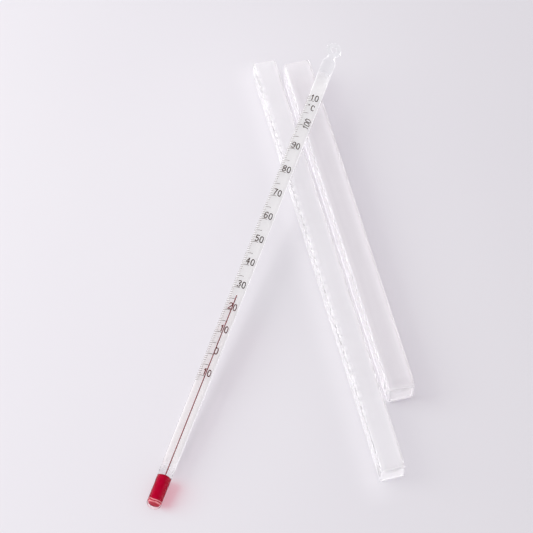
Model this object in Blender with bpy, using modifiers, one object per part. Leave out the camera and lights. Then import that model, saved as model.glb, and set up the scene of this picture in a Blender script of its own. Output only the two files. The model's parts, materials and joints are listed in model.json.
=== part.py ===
"""Glass stem thermometer lying across its telescoping storage case.

The thermometer is a glass rod with a fine bore, a spirit bulb fused to its
lower end and a hanging ring at its upper end.  The case is two square
plastic sleeves, each closed at one end.  The inner sleeve has ratchet teeth
on two opposite corners, and the outer sleeve has a lug in the mouth for each
toothed corner.  The sleeves lie side by side with their open ends the same
way, and the thermometer leans across them with its bulb on the table.

Frame: metres, +Z up.  The origin is the centre of the outer sleeve's
resting face, +Y runs along the sleeves towards their open ends.
"""

import math

import bmesh
import bpy
from mathutils import Matrix, Vector

MM = 0.001

# ------------------------------------------------------------ case dimensions
# outer sleeve
OUTER_W = 14.5 * MM          # outside width and height at the closed end
OUTER_MOUTH_W = 15.5 * MM    # the same at the open end
OUTER_LEN = 218.4 * MM
OUTER_WALL = 0.75 * MM
OUTER_CORNER = 1.6 * MM      # outside corner radius
# inner sleeve
INNER_W = 12.8 * MM
INNER_MOUTH_W = 13.1 * MM
INNER_LEN = 267.2 * MM
INNER_WALL = 0.80 * MM
INNER_CORNER = 1.0 * MM
INNER_X = -16.84 * MM        # its closed end's centre, beside the outer sleeve
INNER_CLOSED_Y = -151.4 * MM
INNER_YAW = math.radians(0.21)  # swings its open end towards -X
CORNER_SEGMENTS = 4
# ratchet teeth, cut by a rack along the corner's crest
TOOTH_PITCH = 5.5 * MM
TOOTH_COUNT = 42
TOOTH_START = 5.6 * MM       # from the open end to the first tooth
TOOTH_DEPTH = 0.45 * MM      # measured on the corner's diagonal
TOOTH_STEEP_RUN = 0.25 * MM  # length of a notch's steep side
TOOTH_FLOOR_END = 0.45       # where the notch floor ends, in pitches
TOOTH_RAMP_END = 0.80        # where its long ramp ends, in pitches
RACK_LEAD = 1.0 * MM         # rack beyond the first tooth
RACK_CLEAR = 0.05 * MM       # rack's low points above the crest
RACK_OUTSIDE = 1.5 * MM      # rack's back above the crest
RACK_HALF_W = 2.2 * MM
# lugs in the outer sleeve's mouth
LUG_LEN = 2.6 * MM
LUG_W = 1.4 * MM
LUG_REACH = 0.62 * MM        # from the wall's depth on to the lug's inner face
LUG_SET_BACK = 1.6 * MM      # from the mouth to the lug
LUG_ROOT = 0.55              # depth of the lug's outer face, in walls

CORNER_SIGNS = (("upper", 1), ("lower", -1))

# ------------------- thermometer dimensions, heights are from the bulb's tip
STEM_R = 3.95 * MM
BULB_R = 3.85 * MM
TOTAL_LEN = 298.9 * MM
BULB_LEN = 20.7 * MM
BULB_ROUND = 3.3 * MM        # height of the rounded tip
STEM_START = 21.0 * MM
STEM_SHOULDER = 284.5 * MM   # where the rod starts to draw in
STEM_END = 289.4 * MM
NECK_R = 2.30 * MM           # the drawn-in end under the ring
NECK_STEPS = 6
RING_MAJOR = 3.15 * MM
RING_MINOR = 1.40 * MM
STEM_STEPS = 32              # facets round the stem and bulb
# bulb cavity and its spirit
CAVITY_R = 2.75 * MM
CAVITY_BOTTOM = 4.00 * MM
CAVITY_TOP = 18.7 * MM
CAVITY_ROUND = 1.9 * MM      # height of its rounded floor
CAVITY_NECK_R = 0.62 * MM
CAVITY_NECK_RISE = 0.9 * MM  # from the cavity's top to its narrow neck
SPIRIT_GAP = 0.25 * MM
SPIRIT_ROUND = 1.8 * MM
SPIRIT_STEPS = 24
# bore, a little off the rod's centre line
BORE_R = 0.50 * MM
BORE_X = 0.25 * MM
BORE_Y = -0.45 * MM          # towards the reader
BORE_TOP = 270.0 * MM
BORE_STEPS = 12
CHAMBER_R = 0.95 * MM        # expansion chamber over the bore
CHAMBER_LEN = 6.0 * MM
CUT_START = STEM_START - 0.5 * MM  # bore and slot cutters start below the stem
THREAD_R = 0.30 * MM
THREAD_START = STEM_START + 0.6 * MM
MENISCUS_LEN = 4.0 * MM
JOIN_GAP = 0.3 * MM          # between the thread and the meniscus
# white enamel strip behind the bore
ENAMEL_W = 3.8 * MM
ENAMEL_T = 0.35 * MM
ENAMEL_Y = 1.55 * MM
ENAMEL_START = 21.6 * MM
ENAMEL_END = 277.0 * MM
ENAMEL_GAP = 0.22 * MM
ENAMEL_EDGE = 0.1 * MM
# printed scale: mark position = A + B t + C t^2, t in degrees Celsius
MARK_A = 88.57 * MM
MARK_B = 1.325 * MM
MARK_C = 0.00169 * MM
SCALE_LOW = -10.0
SCALE_HIGH = 110.0
READING = 27.5               # where the spirit stands at rest
SCALE_MARGIN = 5.0 * MM
INK_GAP = 0.06 * MM
INK_T = 0.05 * MM
INK_FROM = -84.375           # degrees round the stem, 0 faces the reader
INK_SEGMENTS = 14            # each as wide as one of the stem's facets

# how the thermometer lies on the case
HEADING = math.radians(33.25)  # from +Y towards +X
TIP_X = -139.43 * MM
TIP_Y = -138.93 * MM
CROSS_Y = 60.7 * MM          # where the stem crosses the outer sleeve's edge
CROSS_CORNER = 0.7           # how far in that edge is, in corner radii
TABLE_CLEAR = 0.10 * MM
CASE_CLEAR = 0.22 * MM
TURN = math.radians(23.0)    # the scale faces this far right of straight up


# ------------------------------------------------------------------- helpers
def clear_scene():
    for obj in list(bpy.data.objects):
        bpy.data.objects.remove(obj, do_unlink=True)
    for mesh in list(bpy.data.meshes):
        bpy.data.meshes.remove(mesh)
    for coll in list(bpy.data.collections):
        bpy.data.collections.remove(coll)


def new_collection(name):
    coll = bpy.data.collections.new(name)
    bpy.context.scene.collection.children.link(coll)
    return coll


def make_material(name, colour, roughness, alpha=1.0, transmission=0.0,
                  ior=1.45):
    mat = bpy.data.materials.new(name)
    mat.use_nodes = True
    inputs = mat.node_tree.nodes["Principled BSDF"].inputs
    inputs["Base Color"].default_value = (*colour, 1.0)
    inputs["Roughness"].default_value = roughness
    inputs["Alpha"].default_value = alpha
    inputs["Transmission Weight"].default_value = transmission
    inputs["IOR"].default_value = ior
    mat.diffuse_color = (*colour, alpha)
    return mat


def add_object(name, mesh, coll, mat=None, parent=None, location=(0, 0, 0)):
    obj = bpy.data.objects.new(name, mesh)
    coll.objects.link(obj)
    if mat is not None:
        mesh.materials.append(mat)
    obj.location = location
    obj.parent = parent
    return obj


def add_empty(name, coll, pose):
    obj = bpy.data.objects.new(name, None)
    obj.empty_display_size = 0.01
    coll.objects.link(obj)
    obj.location = pose.to_translation()
    obj.rotation_euler = pose.to_euler()
    return obj


def turned(name, profile, steps, coll, mat, parent, location=(0, 0, 0),
           angle=360.0, merge=True):
    """Turn a profile of (radius, height) points round the Z axis."""
    mesh = bpy.data.meshes.new(name)
    verts = [(radius, 0.0, z) for radius, z in profile]
    mesh.from_pydata(verts, [(i, i + 1) for i in range(len(verts) - 1)], [])
    obj = add_object(name, mesh, coll, mat, parent, location)
    screw = obj.modifiers.new("turn", 'SCREW')
    screw.axis = 'Z'
    screw.angle = math.radians(angle)
    screw.steps = steps
    screw.render_steps = steps
    screw.use_merge_vertices = merge
    screw.merge_threshold = 0.000001
    screw.use_smooth_shade = True
    return obj


def round_end(radius, from_z, to_z, count):
    """Quarter-ellipse points from (radius, from_z) to (0, to_z)."""
    points = []
    for i in range(count + 1):
        angle = 0.5 * math.pi * i / count
        points.append((radius * math.cos(angle),
                       from_z + (to_z - from_z) * math.sin(angle)))
    return points


def combine(obj, helper, operation, name):
    """Add an exact boolean with a helper object, and hide the helper."""
    helper.hide_render = True
    helper.display_type = 'WIRE'
    mod = obj.modifiers.new(name, 'BOOLEAN')
    mod.operation = operation
    mod.solver = 'EXACT'
    mod.object = helper


def box_mesh(name, size, centre=(0, 0, 0)):
    mesh = bpy.data.meshes.new(name)
    bm = bmesh.new()
    bmesh.ops.create_cube(bm, size=1.0)
    bmesh.ops.scale(bm, vec=size, verts=bm.verts)
    bmesh.ops.translate(bm, vec=centre, verts=bm.verts)
    bm.to_mesh(mesh)
    bm.free()
    return mesh


# ---------------------------------------------------------------------- case
def sleeve(name, width, mouth_width, length, wall, corner, coll, mat, parent):
    """Square tube standing on z = 0, closed at y = -length/2.

    It is drafted: its mouth is a little wider and higher than its closed end.
    """
    mesh = bpy.data.meshes.new(name)
    bm = bmesh.new()
    bmesh.ops.create_cube(bm, size=1.0)
    bmesh.ops.scale(bm, vec=(width, length, width), verts=bm.verts)
    bmesh.ops.translate(bm, vec=(0, 0, width / 2), verts=bm.verts)
    for vert in bm.verts:
        if vert.co.y > 0:
            vert.co.x *= mouth_width / width
            vert.co.z *= mouth_width / width
    mouth = [face for face in bm.faces if face.normal.y > 0.9]
    bmesh.ops.delete(bm, geom=mouth, context='FACES_ONLY')
    bm.to_mesh(mesh)
    bm.free()
    obj = add_object(name, mesh, coll, mat, parent)
    bevel = obj.modifiers.new("rounded_corners", 'BEVEL')
    bevel.width = corner
    bevel.segments = CORNER_SEGMENTS
    bevel.limit_method = 'ANGLE'
    bevel.angle_limit = math.radians(40)
    solidify = obj.modifiers.new("wall", 'SOLIDIFY')
    solidify.thickness = wall
    solidify.offset = -1.0
    solidify.use_even_offset = True
    return obj


def corner_reach(width, corner):
    """Distance from the sleeve's axis to its rounded corner, diagonally."""
    return (width / 2 - corner) * math.sqrt(2) + corner


def corner_frame(width, mouth_width, length, corner, sign):
    """Local X along one corner's crest, local Y out through the corner.

    The origin is on the crest, midway along the sleeve.  sign +1 is the
    upper corner at -X, sign -1 the lower corner at +X.
    """
    diagonal = Vector((-1, 0, 1)).normalized() * sign
    ends = []
    for end_width, y in ((width, -length / 2), (mouth_width, length / 2)):
        ends.append(Vector((0, y, end_width / 2))
                    + diagonal * corner_reach(end_width, corner))
    along = (ends[1] - ends[0]).normalized()
    out = (diagonal - along * diagonal.dot(along)).normalized()
    side = along.cross(out)
    frame = Matrix((along, out, side)).transposed().to_4x4()
    frame.translation = (ends[0] + ends[1]) / 2
    return frame


def rack_outline():
    """Sawtooth points (along the crest, out from the crest)."""
    start = INNER_LEN / 2 - TOOTH_START
    points = [(start + RACK_LEAD, RACK_OUTSIDE),
              (start + RACK_LEAD, RACK_CLEAR)]
    for i in range(TOOTH_COUNT):
        along = start - i * TOOTH_PITCH
        points += [(along, RACK_CLEAR),
                   (along - TOOTH_STEEP_RUN, -TOOTH_DEPTH),
                   (along - TOOTH_FLOOR_END * TOOTH_PITCH, -TOOTH_DEPTH),
                   (along - TOOTH_RAMP_END * TOOTH_PITCH, RACK_CLEAR)]
    points.append((start - TOOTH_COUNT * TOOTH_PITCH, RACK_OUTSIDE))
    return points


def ratchet_cutter(name, sign, coll):
    """Sawtooth rack that cuts the ratchet notches along one corner."""
    points = rack_outline()
    curve = bpy.data.curves.new(name + "_outline", 'CURVE')
    curve.dimensions = '2D'
    curve.fill_mode = 'BOTH'
    curve.extrude = RACK_HALF_W
    spline = curve.splines.new('POLY')
    spline.points.add(len(points) - 1)
    for point, (along, out) in zip(spline.points, points):
        point.co = (along, out, 0.0, 1.0)
    spline.use_cyclic_u = True
    guide = bpy.data.objects.new(name + "_outline", curve)
    coll.objects.link(guide)
    guide.matrix_world = corner_frame(INNER_W, INNER_MOUTH_W, INNER_LEN,
                                      INNER_CORNER, sign)
    bpy.context.view_layer.update()
    graph = bpy.context.evaluated_depsgraph_get()
    mesh = bpy.data.meshes.new_from_object(guide.evaluated_get(graph))
    # weld the curve's caps to its sides to make a closed solid
    bm = bmesh.new()
    bm.from_mesh(mesh)
    bmesh.ops.remove_doubles(bm, verts=bm.verts, dist=0.000001)
    bmesh.ops.recalc_face_normals(bm, faces=bm.faces)
    bm.to_mesh(mesh)
    bm.free()
    obj = add_object(name, mesh, coll)
    obj.matrix_world = guide.matrix_world.copy()
    bpy.data.objects.remove(guide, do_unlink=True)
    return obj


def lug(name, sign, coll):
    """Small ratchet lug inside one corner of the outer sleeve's mouth."""
    low = -OUTER_WALL - LUG_REACH
    high = -LUG_ROOT * OUTER_WALL
    along = OUTER_LEN / 2 - LUG_SET_BACK - LUG_LEN / 2
    mesh = box_mesh(name, (LUG_LEN, high - low, LUG_W),
                    (along, (high + low) / 2, 0.0))
    obj = add_object(name, mesh, coll)
    obj.matrix_world = corner_frame(OUTER_W, OUTER_MOUTH_W, OUTER_LEN,
                                    OUTER_CORNER, sign)
    return obj


def build_outer_sleeve(parts, tools):
    plastic = make_material("outer_sleeve_plastic", (0.90, 0.89, 0.92),
                            roughness=0.18, alpha=0.45, transmission=0.6,
                            ior=1.49)
    axis = add_empty("outer_sleeve_axis", parts, Matrix.Identity(4))
    outer = sleeve("outer_sleeve", OUTER_W, OUTER_MOUTH_W, OUTER_LEN,
                   OUTER_WALL, OUTER_CORNER, parts, plastic, axis)
    for place, sign in CORNER_SIGNS:
        label = "lug_" + place
        combine(outer, lug(label, sign, tools), 'UNION', label)


def build_inner_sleeve(parts, tools):
    plastic = make_material("inner_sleeve_plastic", (0.92, 0.92, 0.95),
                            roughness=0.16, alpha=0.45, transmission=0.6,
                            ior=1.49)
    # the yaw turns the sleeve about the centre of its closed end
    pose = (Matrix.Translation((INNER_X, INNER_CLOSED_Y, 0))
            @ Matrix.Rotation(INNER_YAW, 4, 'Z')
            @ Matrix.Translation((0, INNER_LEN / 2, 0)))
    axis = add_empty("inner_sleeve_axis", parts, pose)
    inner = sleeve("inner_sleeve", INNER_W, INNER_MOUTH_W, INNER_LEN,
                   INNER_WALL, INNER_CORNER, parts, plastic, axis)
    for place, sign in CORNER_SIGNS:
        label = "rack_" + place
        cutter = ratchet_cutter(label, sign, tools)
        cutter.matrix_world = pose @ cutter.matrix_world
        combine(inner, cutter, 'DIFFERENCE', label)


# --------------------------------------------------------------- thermometer
def mark_position(degrees):
    """Distance of a temperature's mark from the bulb's tip."""
    return MARK_A + MARK_B * degrees + MARK_C * degrees * degrees


def rest_tilt():
    """Slope that lets the stem's underside clear the outer sleeve's edge."""
    width = OUTER_W + (OUTER_MOUTH_W - OUTER_W) * (CROSS_Y / OUTER_LEN + 0.5)
    edge_x = -width / 2 + OUTER_CORNER * CROSS_CORNER
    run = (edge_x - TIP_X) / math.sin(HEADING) - BULB_R
    rise = width + CASE_CLEAR - TABLE_CLEAR
    return math.atan2(rise, run)


def build_stem_axis(parts):
    """Empty at the bulb's tip: +Z up the stem, -Y towards the reader."""
    tilt = rest_tilt()
    along = Vector((math.sin(HEADING) * math.cos(tilt),
                    math.cos(HEADING) * math.cos(tilt), math.sin(tilt)))
    up = (Vector((0, 0, 1)) - along * along.z).normalized()
    right = along.cross(up)
    front = up * math.cos(TURN) + right * math.sin(TURN)
    local_y = -front
    local_x = local_y.cross(along)
    pose = Matrix((local_x, local_y, along)).transposed().to_4x4()
    tip_z = TABLE_CLEAR + STEM_R * math.cos(tilt) - BULB_R * math.sin(tilt)
    pose.translation = (TIP_X, TIP_Y, tip_z)
    return add_empty("stem_axis", parts, pose)


def bore_cutter(tools, axis):
    """Fine bore with the expansion chamber over it."""
    chamber_top = BORE_TOP + CHAMBER_LEN
    profile = [(0.0, chamber_top),
               (CHAMBER_R * 0.7, chamber_top - 0.4 * MM),
               (CHAMBER_R, chamber_top - 1.4 * MM),
               (CHAMBER_R, BORE_TOP + 1.6 * MM),
               (BORE_R, BORE_TOP),
               (BORE_R, CUT_START),
               (0.0, CUT_START)]
    return turned("bore_cutter", profile, BORE_STEPS, tools, None, axis,
                  (BORE_X, BORE_Y, 0))


def enamel_slot_cutter(tools, axis):
    """Slot that holds the enamel strip with a gap all round."""
    length = ENAMEL_END + ENAMEL_GAP - CUT_START
    mesh = box_mesh("enamel_slot_cutter", (ENAMEL_W + 2 * ENAMEL_GAP,
                                           ENAMEL_T + 2 * ENAMEL_GAP, length))
    return add_object("enamel_slot_cutter", mesh, tools, None, axis,
                      (0, ENAMEL_Y, CUT_START + length / 2))


def build_stem(parts, tools, axis, glass):
    """Glass rod drawn in at the top to carry the ring."""
    profile = [(0.0, STEM_END)]
    for i in range(NECK_STEPS + 1):
        part = i / NECK_STEPS
        ease = part * part * (3 - 2 * part)
        profile.append((NECK_R + (STEM_R - NECK_R) * ease,
                        STEM_END + (STEM_SHOULDER - STEM_END) * part))
    profile += [(STEM_R, STEM_START), (0.0, STEM_START)]
    stem = turned("stem_glass", profile, STEM_STEPS, parts, glass, axis)
    combine(stem, bore_cutter(tools, axis), 'DIFFERENCE', "bore")
    combine(stem, enamel_slot_cutter(tools, axis), 'DIFFERENCE',
            "enamel_slot")


def build_enamel(parts, axis):
    white = make_material("white_enamel", (0.90, 0.89, 0.88), roughness=0.35)
    mesh = box_mesh("enamel_backing",
                    (ENAMEL_W, ENAMEL_T, ENAMEL_END - ENAMEL_START))
    enamel = add_object("enamel_backing", mesh, parts, white, axis,
                        (0, ENAMEL_Y, (ENAMEL_END + ENAMEL_START) / 2))
    bevel = enamel.modifiers.new("edges", 'BEVEL')
    bevel.width = ENAMEL_EDGE
    bevel.segments = 2
    bevel.limit_method = 'ANGLE'


def build_bulb(parts, axis):
    """Blown cup with a narrow neck that meets the bore."""
    glass = make_material("bulb_glass", (0.93, 0.93, 0.95), roughness=0.03,
                          alpha=0.35, transmission=0.9, ior=1.50)
    floor = round_end(CAVITY_R, CAVITY_BOTTOM + CAVITY_ROUND,
                      CAVITY_BOTTOM, 5)
    profile = [(0.0, CAVITY_BOTTOM)]
    profile += floor[-2::-1]  # from the centre outwards
    # up the cavity and its neck, then down the outside
    profile += [(CAVITY_R, CAVITY_TOP - 0.7 * MM),
                (CAVITY_R * 0.86, CAVITY_TOP - 0.15 * MM),
                (CAVITY_R * 0.55, CAVITY_TOP + 0.15 * MM),
                (CAVITY_NECK_R, CAVITY_TOP + CAVITY_NECK_RISE),
                (CAVITY_NECK_R, BULB_LEN),
                (BULB_R * 0.97, BULB_LEN),
                (BULB_R, BULB_LEN - 0.5 * MM)]
    profile += round_end(BULB_R, BULB_ROUND, 0.0, 8)
    turned("bulb_glass", profile, STEM_STEPS, parts, glass, axis)


def build_spirit(parts, axis):
    """Spirit in the bulb, and in the bore a long thread and a short end."""
    red = make_material("red_spirit", (0.62, 0.0, 0.03), roughness=0.12)
    top = CAVITY_TOP - SPIRIT_GAP
    bottom = CAVITY_BOTTOM + SPIRIT_GAP
    radius = CAVITY_R - SPIRIT_GAP
    profile = [(0.0, top),
               (radius * 0.5, top),
               (radius * 0.86, top - 0.3 * MM),
               (radius, top - 0.9 * MM)]
    profile += round_end(radius, bottom + SPIRIT_ROUND, bottom, 5)
    turned("bulb_spirit", profile, SPIRIT_STEPS, parts, red, axis)

    level = mark_position(READING)
    thread_top = level - MENISCUS_LEN
    thread = [(0.0, thread_top),
              (THREAD_R, thread_top),
              (THREAD_R, THREAD_START),
              (0.0, THREAD_START)]
    meniscus = [(0.0, level),
                (THREAD_R * 0.6, level - 0.08 * MM),
                (THREAD_R, level - 0.3 * MM),
                (THREAD_R, thread_top + JOIN_GAP),
                (0.0, thread_top + JOIN_GAP)]
    for name, points in (("spirit_thread", thread),
                         ("spirit_meniscus", meniscus)):
        turned(name, points, BORE_STEPS, parts, red, axis,
               (BORE_X, BORE_Y, 0))


def build_scale(parts, axis):
    """Printed scale: a thin layer round the reader's side of the stem."""
    ink_mat = make_material("scale_ink", (0.13, 0.10, 0.09), roughness=0.6,
                            alpha=0.6)
    radius = STEM_R + INK_GAP
    low = mark_position(SCALE_LOW) - SCALE_MARGIN
    high = mark_position(SCALE_HIGH) + SCALE_MARGIN
    ink = turned("printed_scale", [(radius, high), (radius, low)],
                 INK_SEGMENTS, parts, ink_mat, axis,
                 angle=360.0 / STEM_STEPS * INK_SEGMENTS, merge=False)
    ink.rotation_euler = (0, 0, math.radians(-90.0 + INK_FROM))
    layer = ink.modifiers.new("layer", 'SOLIDIFY')
    layer.thickness = INK_T
    layer.offset = 1.0


def build_ring(parts, axis, glass):
    """Hanging ring, its hole faces the reader."""
    bpy.ops.mesh.primitive_torus_add(
        major_segments=28, minor_segments=14,
        major_radius=RING_MAJOR, minor_radius=RING_MINOR,
        rotation=(math.radians(90), 0, 0), location=(0, 0, 0))
    ring = bpy.context.active_object
    ring.name = "hanging_ring"
    ring.data.name = "hanging_ring"
    for coll in list(ring.users_collection):
        coll.objects.unlink(ring)
    parts.objects.link(ring)
    ring.data.materials.append(glass)
    ring.parent = axis
    ring.location = (0, 0, TOTAL_LEN - RING_MAJOR - RING_MINOR)
    ring.data.shade_smooth()


def build_thermometer(parts, tools):
    glass = make_material("clear_glass", (0.93, 0.95, 0.95), roughness=0.03,
                          alpha=0.35, transmission=0.9, ior=1.50)
    axis = build_stem_axis(parts)
    build_stem(parts, tools, axis, glass)
    build_enamel(parts, axis)
    build_bulb(parts, axis)
    build_spirit(parts, axis)
    build_scale(parts, axis)
    build_ring(parts, axis, glass)


def build():
    clear_scene()
    parts = new_collection("spirit_thermometer_with_case")
    tools = new_collection("cutters")
    build_outer_sleeve(parts, tools)
    build_inner_sleeve(parts, tools)
    build_thermometer(parts, tools)
    bpy.context.view_layer.update()


build()
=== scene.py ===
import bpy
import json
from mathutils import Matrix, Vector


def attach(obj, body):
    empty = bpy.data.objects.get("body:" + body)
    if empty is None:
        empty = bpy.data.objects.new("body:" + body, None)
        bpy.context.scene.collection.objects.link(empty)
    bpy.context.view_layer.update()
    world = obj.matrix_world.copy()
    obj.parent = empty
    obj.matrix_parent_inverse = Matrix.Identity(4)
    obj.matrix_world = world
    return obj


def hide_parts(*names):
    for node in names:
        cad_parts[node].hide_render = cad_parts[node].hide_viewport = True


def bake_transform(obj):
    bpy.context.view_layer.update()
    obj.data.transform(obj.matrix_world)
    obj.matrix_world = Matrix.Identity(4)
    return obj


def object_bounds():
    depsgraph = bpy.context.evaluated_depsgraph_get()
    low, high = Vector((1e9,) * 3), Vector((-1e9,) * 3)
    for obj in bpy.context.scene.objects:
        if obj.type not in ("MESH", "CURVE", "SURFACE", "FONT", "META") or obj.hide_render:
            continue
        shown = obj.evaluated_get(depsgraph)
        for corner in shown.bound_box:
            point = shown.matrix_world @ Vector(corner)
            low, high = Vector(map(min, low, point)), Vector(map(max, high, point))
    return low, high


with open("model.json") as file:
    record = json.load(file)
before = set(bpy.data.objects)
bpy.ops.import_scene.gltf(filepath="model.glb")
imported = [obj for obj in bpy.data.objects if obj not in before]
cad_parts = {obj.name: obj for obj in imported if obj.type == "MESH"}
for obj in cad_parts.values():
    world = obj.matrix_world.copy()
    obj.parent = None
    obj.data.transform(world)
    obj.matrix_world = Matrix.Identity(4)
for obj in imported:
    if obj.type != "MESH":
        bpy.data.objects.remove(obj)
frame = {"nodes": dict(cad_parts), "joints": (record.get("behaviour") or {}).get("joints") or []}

# A spirit thermometer and its telescoping case of two clear square sleeves,
# lying on a table.  Units are metres, +Z is up and the table top is at z = 0.
# The stem has a frame of its own: origin at the bulb's tip, +Z up the stem,
# -Y to the reader, +X to the reader's right.  Each sleeve's frame starts at
# its closed end, with +Y towards the mouth.  Places are read from the CAD
# bodies; the fine surfaces, the printed scale and the materials are made here.

import json
import math

import bmesh
import bpy
import numpy as np
from mathutils import Matrix, Vector

CAD_LO, CAD_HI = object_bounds()
MM = 0.001
NODES = frame["nodes"]
SCENE = bpy.context.scene


# ------------------------------------------------------------ frame readings
def points(node):
    mesh = NODES[node].data
    flat = np.empty(len(mesh.vertices) * 3, np.float32)
    mesh.vertices.foreach_get("co", flat)
    return flat.reshape(-1, 3).astype(float)


def stem_frame():
    """Matrix of the stem's frame, from the spirit's joint, bulb and enamel."""
    joint = next(j for j in frame["joints"] if j["name"] == "spirit_rise")
    along = Vector(joint["axis"]).normalized()
    across = along.orthogonal().normalized()
    third = along.cross(across)
    basis = np.array([across, third, along])

    bulb = points("bulb_glass") @ basis.T
    enamel = points("enamel_backing") @ basis.T
    bulb_mid = (bulb.min(0) + bulb.max(0)) / 2
    enamel_mid = (enamel.min(0) + enamel.max(0)) / 2
    tip = Vector(basis.T @ np.array([bulb_mid[0], bulb_mid[1], bulb[:, 2].min()]))
    back = (across * (enamel_mid[0] - bulb_mid[0])
            + third * (enamel_mid[1] - bulb_mid[1])).normalized()
    right = back.cross(along)
    turn = Matrix((right, back, along)).transposed().to_4x4()
    return Matrix.Translation(tip) @ turn


STEM = stem_frame()
STEM_INVERSE = np.array(STEM.inverted())


def stem_points(node):
    return points(node) @ STEM_INVERSE[:3, :3].T + STEM_INVERSE[:3, 3]


def in_stem(node):
    """Lowest and highest corner of a CAD node in the stem's own frame."""
    found = stem_points(node)
    return found.min(0).tolist(), found.max(0).tolist()


def neck_radius():
    """Radius of the CAD stem's drawn-in upper end."""
    found = stem_points("stem_glass")
    found = found[found[:, 2] > STEM_TOP - 0.05 * MM]
    return float(np.hypot(found[:, 0], found[:, 1]).max())


STEM_R, _, STEM_TOP = in_stem("stem_glass")[1]
BULB_R, _, BULB_TOP = in_stem("bulb_glass")[1]
NECK_R = neck_radius()
SHOULDER = STEM_TOP - 4.9 * MM                # where the neck starts to draw in
RING_LO, RING_HI = in_stem("hanging_ring")
RING_MINOR = (RING_HI[1] - RING_LO[1]) / 2
RING_MAJOR = (RING_HI[0] - RING_LO[0]) / 2 - RING_MINOR
RING_HEIGHT = (RING_HI[2] + RING_LO[2]) / 2
ENAMEL_LO, ENAMEL_HI = in_stem("enamel_backing")
LEVEL = in_stem("spirit_meniscus")[1][2]      # top of the spirit at rest
FILL_LO, FILL_HI = in_stem("bulb_spirit")
FILL_BOTTOM = FILL_LO[2] - 1.9 * MM
FILL_CAD_TOP = FILL_HI[2]
SCALE_LO, SCALE_HI = in_stem("printed_scale")

# The distance of t degrees from the bulb's tip is a quadratic in t, tied to
# the two ends of the CAD's scale layer, 5 mm past the -10 and 110 marks.
MARK_LOW = SCALE_LO[2] + 5.0 * MM
MARK_HIGH = SCALE_HI[2] - 5.0 * MM
MARK_SQUARE = 0.00169 * MM
MARK_LINEAR = (MARK_HIGH - MARK_LOW - MARK_SQUARE * (110.0 ** 2 - 10.0 ** 2)) / 120.0
MARK_ZERO = MARK_LOW + 10.0 * MARK_LINEAR - 100.0 * MARK_SQUARE


def mark_position(t):
    return MARK_ZERO + MARK_LINEAR * t + MARK_SQUARE * t * t


# -------------------------------------------------------------- mesh helpers
def add_mesh(name, verts, faces, mat=None, matrix=None, smooth=True, body=None,
             slot=None, hides=()):
    mesh = bpy.data.meshes.new(name)
    mesh.from_pydata([tuple(v) for v in verts], [], faces)
    mesh.update()
    bm = bmesh.new()
    bm.from_mesh(mesh)
    bmesh.ops.recalc_face_normals(bm, faces=bm.faces)
    bm.to_mesh(mesh)
    bm.free()
    if smooth:
        mesh.shade_smooth()
    obj = bpy.data.objects.new(name, mesh)
    SCENE.collection.objects.link(obj)
    if matrix is not None:
        obj.matrix_world = matrix
    if mat is not None:
        mesh.materials.append(mat)
    if body is not None:
        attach(obj, body)
    if hides:
        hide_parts(*hides)
    return obj


def ring_faces(rings):
    """Faces between neighbouring rings of vertex numbers; a pole has one."""
    segments = max(len(ring) for ring in rings)
    faces = []
    for lo, hi in zip(rings, rings[1:]):
        for k in range(segments):
            n = (k + 1) % segments
            if len(lo) == 1:
                faces.append((lo[0], hi[n], hi[k]))
            elif len(hi) == 1:
                faces.append((lo[k], lo[n], hi[0]))
            else:
                faces.append((lo[k], lo[n], hi[n], hi[k]))
    return faces


def lathe(profile, segments, offset=(0.0, 0.0)):
    """Closed turned solid; profile is (radius, z), running pole to pole."""
    verts, rings = [], []
    for radius, z in profile:
        start = len(verts)
        if radius < 1e-9:
            verts.append((offset[0], offset[1], z))
        else:
            for k in range(segments):
                angle = 2 * math.pi * k / segments
                verts.append((offset[0] + radius * math.cos(angle),
                              offset[1] + radius * math.sin(angle), z))
        rings.append(list(range(start, len(verts))))
    return verts, ring_faces(rings)


def prism_sides(section, stations):
    """Open-ended prism of an (x, y) section carried through the z stations."""
    n = len(section)
    verts = [(x, y, z) for z in stations for x, y in section]
    faces = []
    for i in range(len(stations) - 1):
        for j in range(n):
            a, b = i * n + j, i * n + (j + 1) % n
            faces.append((a, b, b + n, a + n))
    return verts, faces


def rounded_end(radius, height, bottom=0.0, steps=16):
    """Quarter-ellipse profile from just off the axis out to the radius."""
    profile = []
    for i in range(1, steps + 1):
        angle = 0.5 * math.pi * i / steps
        profile.append((radius * math.sin(angle),
                        bottom + height * (1 - math.cos(angle))))
    return profile


def ease(k):
    return k * k * (3 - 2 * k)


# ----------------------------------------------------------- material helpers
BLACK = (0.0, 0.0, 0.0)
WHITE = (1.0, 1.0, 1.0)
RAMP_SPAN = 300.0 * MM                        # stem length that 0 to 1 stands for
RAISED = (130.0 * MM, 215.0 * MM)             # where the stem's raised end fades in


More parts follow.
